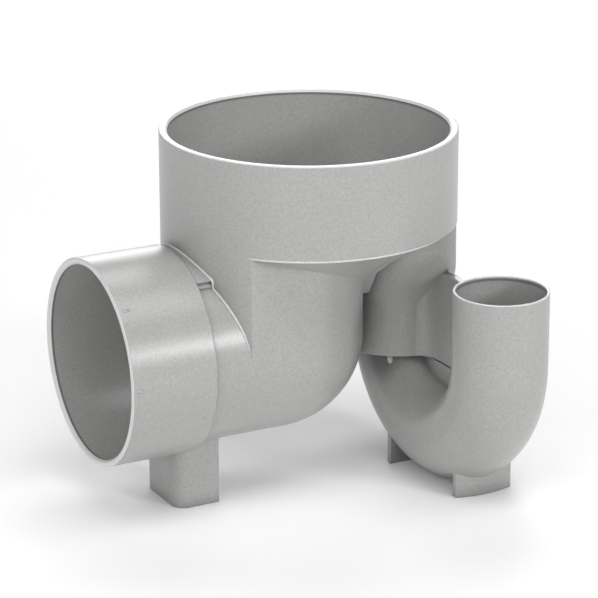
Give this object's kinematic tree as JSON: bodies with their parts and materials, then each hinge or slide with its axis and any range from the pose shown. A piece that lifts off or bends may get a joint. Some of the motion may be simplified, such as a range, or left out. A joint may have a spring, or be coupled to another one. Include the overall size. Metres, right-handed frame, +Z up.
{
  "type": "gully trap",
  "caption": "Moulded plastic gully trap: upright riser socket over an elbow outlet socket, with a cemented U-bend water seal and open inlet.",
  "frame": {"origin": "on the riser socket's axis, at the ledge that stops the riser pipe", "axes": "+Z up out of the riser socket, -X out of the outlet socket, -Y from the trap socket towards the U-bend's inlet"},
  "size_m": [0.2563, 0.2187, 0.216],
  "materials": {
    "body_pvc": "moulded, semi-matt light grey",
    "bend_pvc": "moulded, semi-matt light grey"
  },
  "bodies": {
    "root": {"trap_body": "body_pvc", "u_bend": "bend_pvc"}
  },
  "joints": []
}
